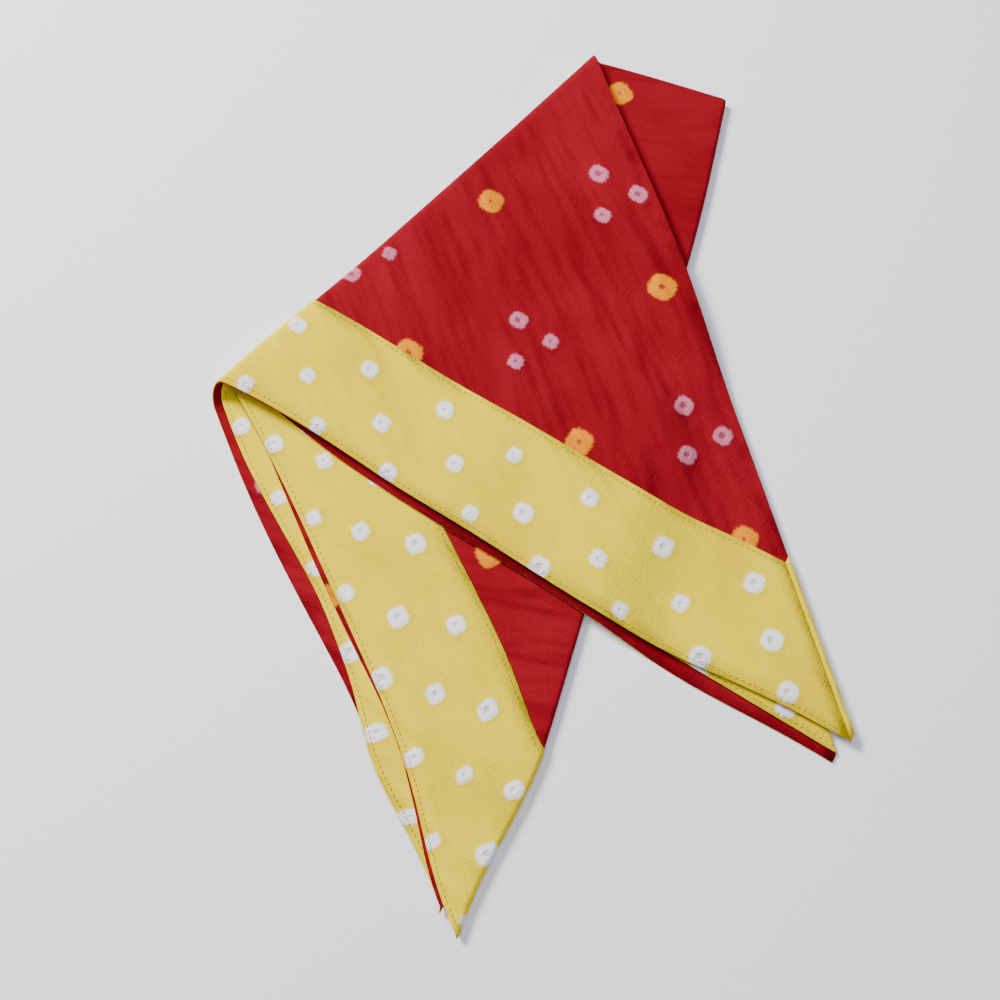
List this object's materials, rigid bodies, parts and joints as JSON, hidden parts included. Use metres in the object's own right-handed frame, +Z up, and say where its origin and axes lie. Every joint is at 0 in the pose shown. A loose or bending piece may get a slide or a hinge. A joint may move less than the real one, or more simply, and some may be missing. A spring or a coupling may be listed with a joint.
{
  "type": "bandhani cloth",
  "caption": "Square tie-dyed cotton kerchief with a contrasting sewn border, folded into a triangle and once more across, lying flat.",
  "frame": {"origin": "centre of the bounding box's floor, on the surface the folded cloth lies on", "axes": "+Z up from the surface; +X and +Y in the surface, with the long leg of the folded triangle pointing towards -Y and its turned-over leg towards +X"},
  "size_m": [0.2892, 0.4322, 0.0256],
  "materials": {
    "red_cotton": "matt plain-woven cotton, tie-dyed red with pink and orange resist spots",
    "yellow_cotton": "matt plain-woven cotton, tie-dyed yellow with rows of white resist spots"
  },
  "bodies": {
    "root": {"red_panel": "red_cotton", "border_strip_1": "yellow_cotton", "border_strip_2": "yellow_cotton", "border_strip_3": "yellow_cotton", "border_strip_4": "yellow_cotton"}
  },
  "joints": []
}
